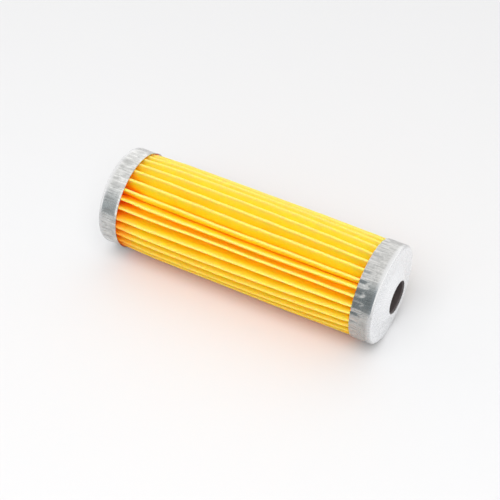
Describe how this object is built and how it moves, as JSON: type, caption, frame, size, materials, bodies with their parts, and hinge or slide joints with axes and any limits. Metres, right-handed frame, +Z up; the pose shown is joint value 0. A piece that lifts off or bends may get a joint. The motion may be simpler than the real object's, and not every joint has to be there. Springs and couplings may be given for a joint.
{
  "type": "fuel filter cartridge",
  "caption": "Pleated paper fuel filter cartridge with two drawn metal end caps, a slotted core tube and a rubber-sealed outlet in a raised boss.",
  "frame": {"origin": "on the surface that the cartridge lies on, straight under the middle of its overall length", "axes": "+X runs along the cartridge's axis towards the pierced outlet end, +Z is up and the axis is one cap radius above the surface"},
  "size_m": [0.1022, 0.034, 0.034],
  "materials": {
    "closed_cap_tinplate": "satin drawn tinplate with a mottled, lightly scuffed wall",
    "outlet_cap_tinplate": "satin drawn tinplate, crimped at the rim, face finely brushed",
    "core_steel": "dull brown-grey oiled steel",
    "seal_rubber": "matt black moulded rubber",
    "filter_paper": "resin-impregnated amber yellow filter paper, slightly translucent",
    "clip_steel": "plain folded steel strip",
    "potting_compound": "cured amber-brown potting compound"
  },
  "bodies": {
    "root": {"closed_cap": "closed_cap_tinplate", "outlet_cap": "outlet_cap_tinplate", "centre_tube": "core_steel", "outlet_seal": "seal_rubber", "pleat_pack": "filter_paper", "seam_clip": "clip_steel", "closed_adhesive": "potting_compound", "outlet_adhesive": "potting_compound"}
  },
  "joints": []
}
